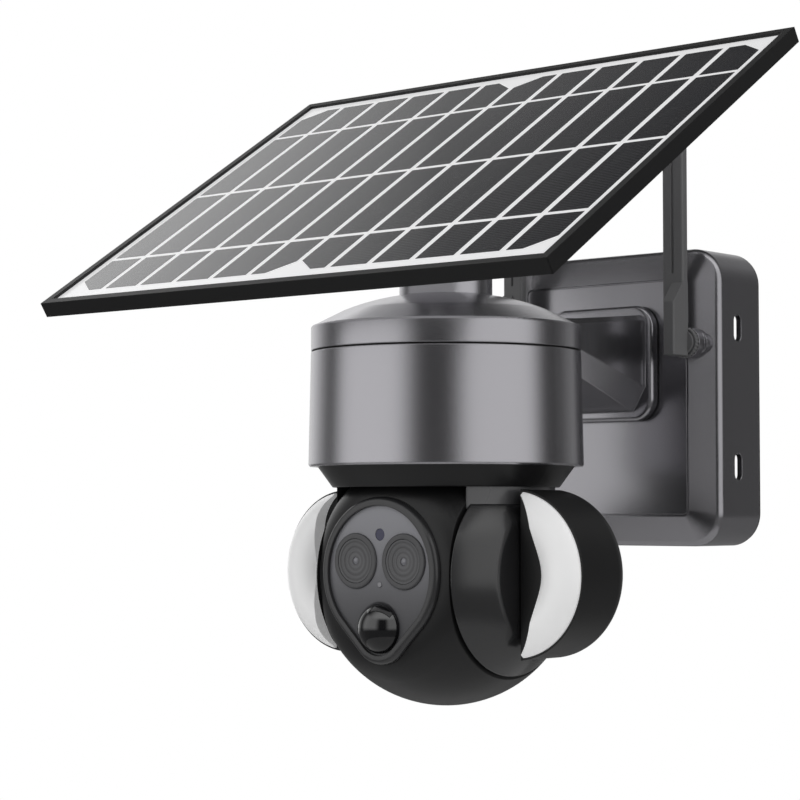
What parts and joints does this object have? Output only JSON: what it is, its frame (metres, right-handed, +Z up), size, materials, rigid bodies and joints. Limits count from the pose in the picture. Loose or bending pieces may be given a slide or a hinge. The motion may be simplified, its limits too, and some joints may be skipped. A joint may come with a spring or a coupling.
{
  "type": "solar-powered security camera",
  "caption": "Wall-mounted security camera: domed housing on a bracket, a pan and tilt ball head with two lenses and side floodlights, a tilting solar panel on top and paddle antennas.",
  "frame": {"origin": "centre of the wall plate's back face, where it meets the wall", "axes": "+X to the right seen from the front, +Y into the wall, +Z up; the camera looks along -Y"},
  "size_m": [0.2834, 0.2769, 0.2927],
  "materials": {
    "dome_metal": "satin metallic grey paint on moulded housing",
    "base_metal": "satin gunmetal paint on moulded housing",
    "black_plastic": "fine moulded satin",
    "face_grey": "satin",
    "lens_glass": "coated",
    "pir_black": "gloss",
    "white_diffuser": "milky satin",
    "frame_black": "black anodised",
    "solar_glass": "glazed cells",
    "antenna_grey": "satin",
    "zinc_steel": "zinc plated",
    "rubber": "matte",
    "cell_wrap": "shrink wrap",
    "circuit_green": "solder mask",
    "motor_can": "bare metal"
  },
  "bodies": {
    "root": {"antenna_socket_left": "base_metal", "antenna_socket_right": "base_metal", "arm": "base_metal", "arm_bolts": "zinc_steel", "arm_gasket": "rubber", "base_gasket": "rubber", "base_shell": "base_metal", "battery_board": "circuit_green", "battery_cell_1": "cell_wrap", "battery_cell_2": "cell_wrap", "battery_cell_3": "cell_wrap", "battery_cell_4": "cell_wrap", "battery_tray": "black_plastic", "dome_shell": "dome_metal", "lid": "dome_metal", "main_board": "circuit_green", "neck": "dome_metal", "pan_deck": "black_plastic", "pan_motor": "motor_can", "plate_screws": "zinc_steel", "seam_gasket": "rubber", "skirt_ring": "black_plastic", "wall_plate": "zinc_steel"},
    "pan_yoke": {"turntable": "black_plastic", "yoke_strap_left": "black_plastic", "yoke_strap_right": "black_plastic", "side_cover_left": "black_plastic", "side_cover_right": "black_plastic"},
    "tilt_ball": {"ball_front": "black_plastic", "ball_rear": "black_plastic", "face_ring": "black_plastic", "face_plate": "face_grey", "lens_barrel_left": "black_plastic", "lens_barrel_right": "black_plastic", "lens_glass_left": "lens_glass", "lens_glass_right": "lens_glass", "sensor_board": "circuit_green", "pir_lens": "pir_black", "light_sensor": "pir_black", "status_led": "white_diffuser", "tilt_motor": "motor_can", "tilt_axle_left": "motor_can", "tilt_axle_right": "motor_can", "lamp_housing_left": "black_plastic", "lamp_housing_right": "black_plastic", "lamp_lens_left": "white_diffuser", "lamp_lens_right": "white_diffuser", "lamp_board_left": "circuit_green", "lamp_board_right": "circuit_green"},
    "panel_swivel": {"swivel_head": "dome_metal"},
    "panel": {"panel_bracket": "zinc_steel", "hinge_bolt": "zinc_steel", "solar_laminate": "solar_glass", "junction_box": "black_plastic", "frame_front": "frame_black", "frame_rear": "frame_black", "frame_left": "frame_black", "frame_right": "frame_black"},
    "antenna_left": {"antenna_left": "antenna_grey"},
    "antenna_right": {"antenna_right": "antenna_grey"}
  },
  "joints": [
    {"name": "head_pan", "type": "hinge", "parent": "root", "child": "pan_yoke", "pos_m": [0, -0.16315, -0.082], "axis": [0, 0, 1], "range_deg": [-175, 175]},
    {"name": "head_tilt", "type": "hinge", "parent": "pan_yoke", "child": "tilt_ball", "pos_m": [0, -0.16315, -0.082], "axis": [1, 0, 0], "range_deg": [-10, 90]},
    {"name": "panel_turn", "type": "hinge", "parent": "root", "child": "panel_swivel", "pos_m": [0, -0.16315, 0.062], "axis": [0, 0, 1], "range_deg": [-14, 14]},
    {"name": "panel_tilt", "type": "hinge", "parent": "panel_swivel", "child": "panel", "pos_m": [0, -0.16315, 0.084], "axis": [1, 0, 0], "range_deg": [-17.5, 17]},
    {"name": "antenna_left_turn", "type": "hinge", "parent": "root", "child": "antenna_left", "pos_m": [-0.0502, -0.0552, 0.0251], "axis": [0, 1, 0], "range_deg": [-90, 15]},
    {"name": "antenna_right_turn", "type": "hinge", "parent": "root", "child": "antenna_right", "pos_m": [0.0502, -0.0552, 0.0251], "axis": [0, 1, 0], "range_deg": [-15, 90]}
  ]
}
